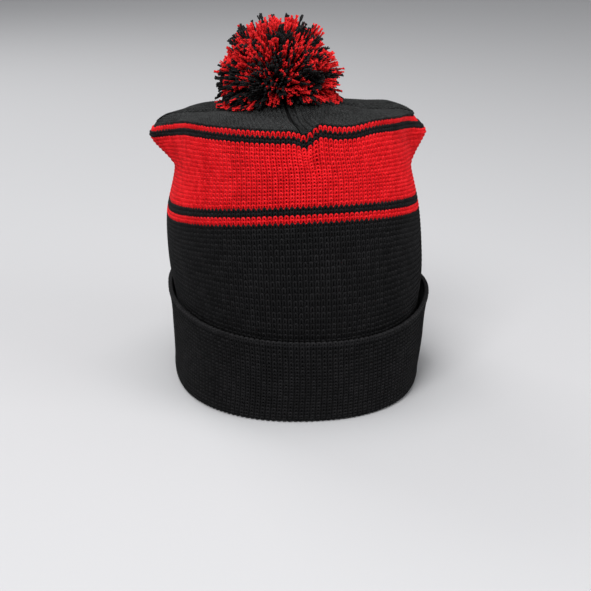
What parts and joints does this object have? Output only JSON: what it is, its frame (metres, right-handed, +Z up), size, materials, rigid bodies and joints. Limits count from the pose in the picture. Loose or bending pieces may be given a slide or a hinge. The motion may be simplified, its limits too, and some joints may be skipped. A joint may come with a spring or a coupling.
{
  "type": "pom pom beanie",
  "caption": "Knitted double-layer beanie in black with red bands, a turned-up cuff, a seamed crown and a two-colour yarn pom pom on a tie.",
  "frame": {"origin": "under the middle of the hat, in the plane of the cuff's bottom fold", "axes": "+Z up towards the pom pom, -Y towards the wearer's face, +X to the wearer's left"},
  "size_m": [0.1841, 0.2134, 0.2414],
  "materials": {
    "knit_black": "soft matte black rib knit",
    "knit_charcoal": "soft matte charcoal knit with fine heather",
    "knit_red": "matte red acrylic knit",
    "thread_black": "matte black sewing and tie thread",
    "pom_yarn_red": "plied red yarn with frayed cut ends",
    "pom_yarn_black": "plied black yarn with frayed cut ends"
  },
  "bodies": {
    "hat": {"crown_gore_back_left": "knit_charcoal", "crown_gore_back_right": "knit_charcoal", "crown_gore_front_left": "knit_charcoal", "crown_gore_front_right": "knit_charcoal", "crown_seam_back": "thread_black", "crown_seam_front": "thread_black", "crown_seam_left": "thread_black", "crown_seam_right": "thread_black", "cuff_inner_layer": "knit_black", "cuff_outer_layer": "knit_black", "lining": "knit_black", "lower_black_stripe": "knit_black", "lower_red_stripe": "knit_red", "red_band": "knit_red", "shell_lower_black": "knit_black", "upper_black_stripe": "knit_black", "upper_red_stripe": "knit_red"},
    "tie_knot": {"tie_knot": "thread_black"},
    "tie": {"tie_cord": "thread_black"},
    "pom": {"pom_binding": "thread_black", "pom_core": "pom_yarn_black", "pom_tuft_black_01": "pom_yarn_black", "pom_tuft_black_02": "pom_yarn_black", "pom_tuft_black_03": "pom_yarn_black", "pom_tuft_black_04": "pom_yarn_black", "pom_tuft_black_05": "pom_yarn_black", "pom_tuft_black_06": "pom_yarn_black", "pom_tuft_black_07": "pom_yarn_black", "pom_tuft_black_08": "pom_yarn_black", "pom_tuft_black_09": "pom_yarn_black", "pom_tuft_black_10": "pom_yarn_black", "pom_tuft_black_11": "pom_yarn_black", "pom_tuft_black_12": "pom_yarn_black", "pom_tuft_black_13": "pom_yarn_black", "pom_tuft_black_14": "pom_yarn_black", "pom_tuft_red_01": "pom_yarn_red", "pom_tuft_red_02": "pom_yarn_red", "pom_tuft_red_03": "pom_yarn_red", "pom_tuft_red_04": "pom_yarn_red", "pom_tuft_red_05": "pom_yarn_red", "pom_tuft_red_06": "pom_yarn_red", "pom_tuft_red_07": "pom_yarn_red", "pom_tuft_red_08": "pom_yarn_red", "pom_tuft_red_09": "pom_yarn_red", "pom_tuft_red_10": "pom_yarn_red", "pom_tuft_red_11": "pom_yarn_red", "pom_tuft_red_12": "pom_yarn_red", "pom_tuft_red_13": "pom_yarn_red"}
  },
  "joints": [
    {"name": "pom_twist", "type": "hinge", "parent": "hat", "child": "tie_knot", "pos_m": [0.0085, 0.004, 0.19036], "axis": [0, 0, 1], "range_deg": [-30, 30], "stiffness_Nm_per_rad": 0.01},
    {"name": "pom_lean_sideways", "type": "hinge", "parent": "tie_knot", "child": "tie", "pos_m": [0.0085, 0.004, 0.19036], "axis": [0, 1, 0], "range_deg": [-8, 8], "stiffness_Nm_per_rad": 0.06},
    {"name": "pom_lean_fore_aft", "type": "hinge", "parent": "tie", "child": "pom", "pos_m": [0.0085, 0.004, 0.19036], "axis": [1, 0, 0], "range_deg": [-8, 8], "stiffness_Nm_per_rad": 0.06}
  ]
}
